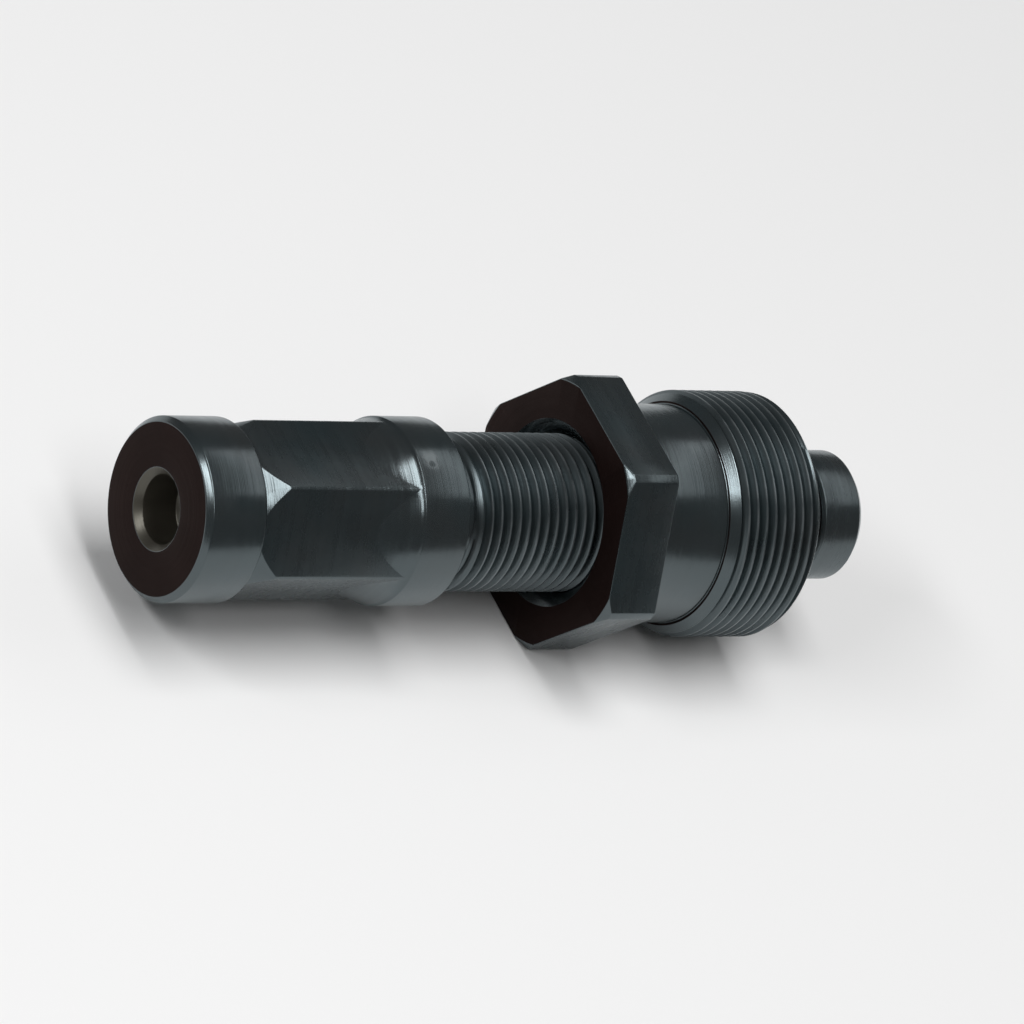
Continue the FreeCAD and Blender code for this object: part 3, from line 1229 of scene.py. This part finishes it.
@dataclass
class ThrustBall:
    """The ball that the tip turns on, in the spindle's stations, in millimetres."""

    middle: float = 57.707
    radius: float = 2.5
    meridians: int = 48
    parallels: int = 24

    def build(self) -> bpy.types.Object:
        """Makes the ball.

        Returns:
            The finished object.
        """
        ball = Workpiece("thrust_ball_steel")
        bmesh.ops.create_uvsphere(
            ball.mesh, u_segments=self.meridians, v_segments=self.parallels,
            radius=self.radius * MM,
            matrix=Matrix.Translation(((HEAD_END + self.middle) * MM, 0, 0)))
        return ball.finish([
            BareSteel("polished_ball", Surface.ROUND, tone=(0.8, 0.8, 0.82), roughness=0.1),
        ])


@dataclass(frozen=True)
class SoftBox:
    """One soft lamp that looks at the tool.

    Args:
        name: name of the lamp.
        direction: where it stands, seen from the tool.
        distance: how far away, in metres.
        size: width and height of its panel, in metres.
        power: its power, in watts.
    """

    name: str
    direction: Point
    distance: float
    size: Span
    power: float

    def build(self, target: Vector) -> None:
        """Hangs the lamp.

        Args:
            target: the point that it looks at.
        """
        lamp = bpy.data.lights.new(self.name, "AREA")
        lamp.shape = "RECTANGLE"
        lamp.size, lamp.size_y = self.size
        lamp.energy = self.power
        holder = bpy.data.objects.new(self.name, lamp)
        way = Vector(self.direction).normalized()
        holder.location = target + way * self.distance
        holder.rotation_euler = way.to_track_quat("Z", "Y").to_euler()
        bpy.context.scene.collection.objects.link(holder)


@dataclass
class PhotoCamera:
    """The photograph's view: where the head stands before the camera, in millimetres.

    Args:
        head: the head's end face, right, down and away from the camera.
        away: angle between the tool's axis and the line of sight, in degrees.
        dip: how far the axis dips to the right in the picture, in degrees.
        roll: height of the camera's side of the tool above the horizontal, in degrees.
        pixels: focal length in pixels of the photograph.
        width: width of the photograph in pixels.
        zoom: how much closer the picture is framed than the photograph.
    """

    head: Point = (-54.9, 4.21, 695.3)
    away: float = 51.61
    dip: float = 0.73
    roll: float = 45.9
    pixels: float = 3568.0
    width: float = 1024.0
    zoom: float = 2.3

    def orientation(self) -> Matrix:
        """Works out how the tool lies before the camera.

        Returns:
            The turn from the tool's directions to right, down and away in the picture.
        """
        away, dip, roll = (math.radians(a) for a in (self.away, self.dip, self.roll))
        axis = Vector((
            math.sin(away) * math.cos(dip), math.sin(away) * math.sin(dip), math.cos(away)))
        near = (axis * math.cos(away) - Vector((0, 0, 1))) / math.sin(away)
        above = near.cross(axis)
        seen = Matrix((axis, near, above)).transposed()
        tool = Matrix((
            Vector((1, 0, 0)),
            Vector((0, -math.cos(roll), math.sin(roll))),
            Vector((0, math.sin(roll), math.cos(roll))),
        ))
        return seen @ tool

    def build(self, target: Vector) -> None:
        """Places the camera and aims it at the tool.

        Args:
            target: the point in the middle of the picture.
        """
        back_turn = self.orientation().transposed()
        spot = (Vector((HEAD_END, 0, 0)) - back_turn @ Vector(self.head)) * MM
        back = (spot - target).normalized()
        right = (back_turn @ Vector((0, -1, 0))).cross(back).normalized()
        up = back.cross(right)
        lens = bpy.data.cameras.new("photo_camera")
        lens.sensor_width = 36.0
        lens.lens = self.pixels * self.zoom * lens.sensor_width / self.width
        lens.clip_start = 0.01
        holder = bpy.data.objects.new("photo_camera", lens)
        basis = Matrix((right, up, back)).transposed().to_4x4()
        holder.matrix_world = Matrix.Translation(spot) @ basis
        bpy.context.scene.collection.objects.link(holder)
        bpy.context.scene.camera = holder


@dataclass
class Studio:
    """A pale floor, soft lamps and the camera, in metres."""

    floor_colour: Colour = (0.84, 0.84, 0.84)
    floor_reach: float = 3.0
    floor_gap: float = 0.00005
    room_strength: float = 0.12
    target: Point = (-0.0215, 0.0, 0.0)
    lamps: tuple[SoftBox, ...] = (
        SoftBox("overhead", (-0.01, -0.07, 0.97), 0.75, (0.29, 0.56), 3.6),
        SoftBox("front", (-0.21, -0.54, 0.82), 0.75, (0.14, 0.26), 0.9),
        SoftBox("front_left", (-0.76, 0.00, 0.62), 0.80, (0.46, 0.10), 2.0),
        SoftBox("right_fill", (0.60, 0.08, 0.70), 0.90, (0.80, 0.20), 0.6),
    )

    def build(self) -> None:
        """Lays the floor, lights the room, hangs the lamps and sets up the camera."""
        self.lay_floor()
        self.light_room()
        aim = Vector(self.target)
        for lamp in self.lamps:
            lamp.build(aim)
        PhotoCamera().build(aim)
        bpy.context.scene.view_settings.view_transform = "Standard"

    def lay_floor(self) -> None:
        """Lays a dull floor just under the tool."""
        sheet = NodeSheet("pale_floor")
        sheet.shader.inputs["Base Color"].default_value = (*self.floor_colour, 1.0)
        sheet.shader.inputs["Roughness"].default_value = 0.9
        sheet.shader.inputs["Specular IOR Level"].default_value = 0.1
        ground = bmesh.new()
        bmesh.ops.create_grid(ground, x_segments=1, y_segments=1, size=self.floor_reach)
        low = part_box("sleeve")[0].z
        bmesh.ops.translate(ground, verts=ground.verts, vec=(0, 0, low - self.floor_gap))
        data = bpy.data.meshes.new("floor")
        ground.to_mesh(data)
        ground.free()
        data.materials.append(sheet.material)
        floor = bpy.data.objects.new("floor", data)
        bpy.context.scene.collection.objects.link(floor)

    def light_room(self) -> None:
        """Gives the room its even white light."""
        room = bpy.data.worlds.new("room")
        room.use_nodes = True
        light = room.node_tree.nodes["Background"]
        light.inputs["Color"].default_value = (1.0, 1.0, 1.0, 1.0)
        light.inputs["Strength"].default_value = self.room_strength
        bpy.context.scene.world = room


def main() -> None:
    """Builds the tool's pieces in order, then the studio."""
    logging.basicConfig(level=logging.INFO, format="%(message)s")
    pieces = [
        (Sleeve(), "sleeve", "sleeve", "blackened_steel"),
        (Spindle(), "spindle", "spindle", "blackened_steel"),
        (SwivelTip(), "swivel_tip", "swivel_tip", "blackened_steel"),
        (RetainingRing(), "spindle", "tip_retaining_ring", "spring_steel"),
        (ThrustBall(), "spindle", "thrust_ball", "ball_steel"),
    ]
    for maker, body, node, slot in pieces:
        piece = maker.build()
        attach(piece, body)
        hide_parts(node)
        LOG.info("%s: %d faces", piece.name, len(piece.data.polygons))
    Studio().build()


if __name__ == "__main__":
    main()
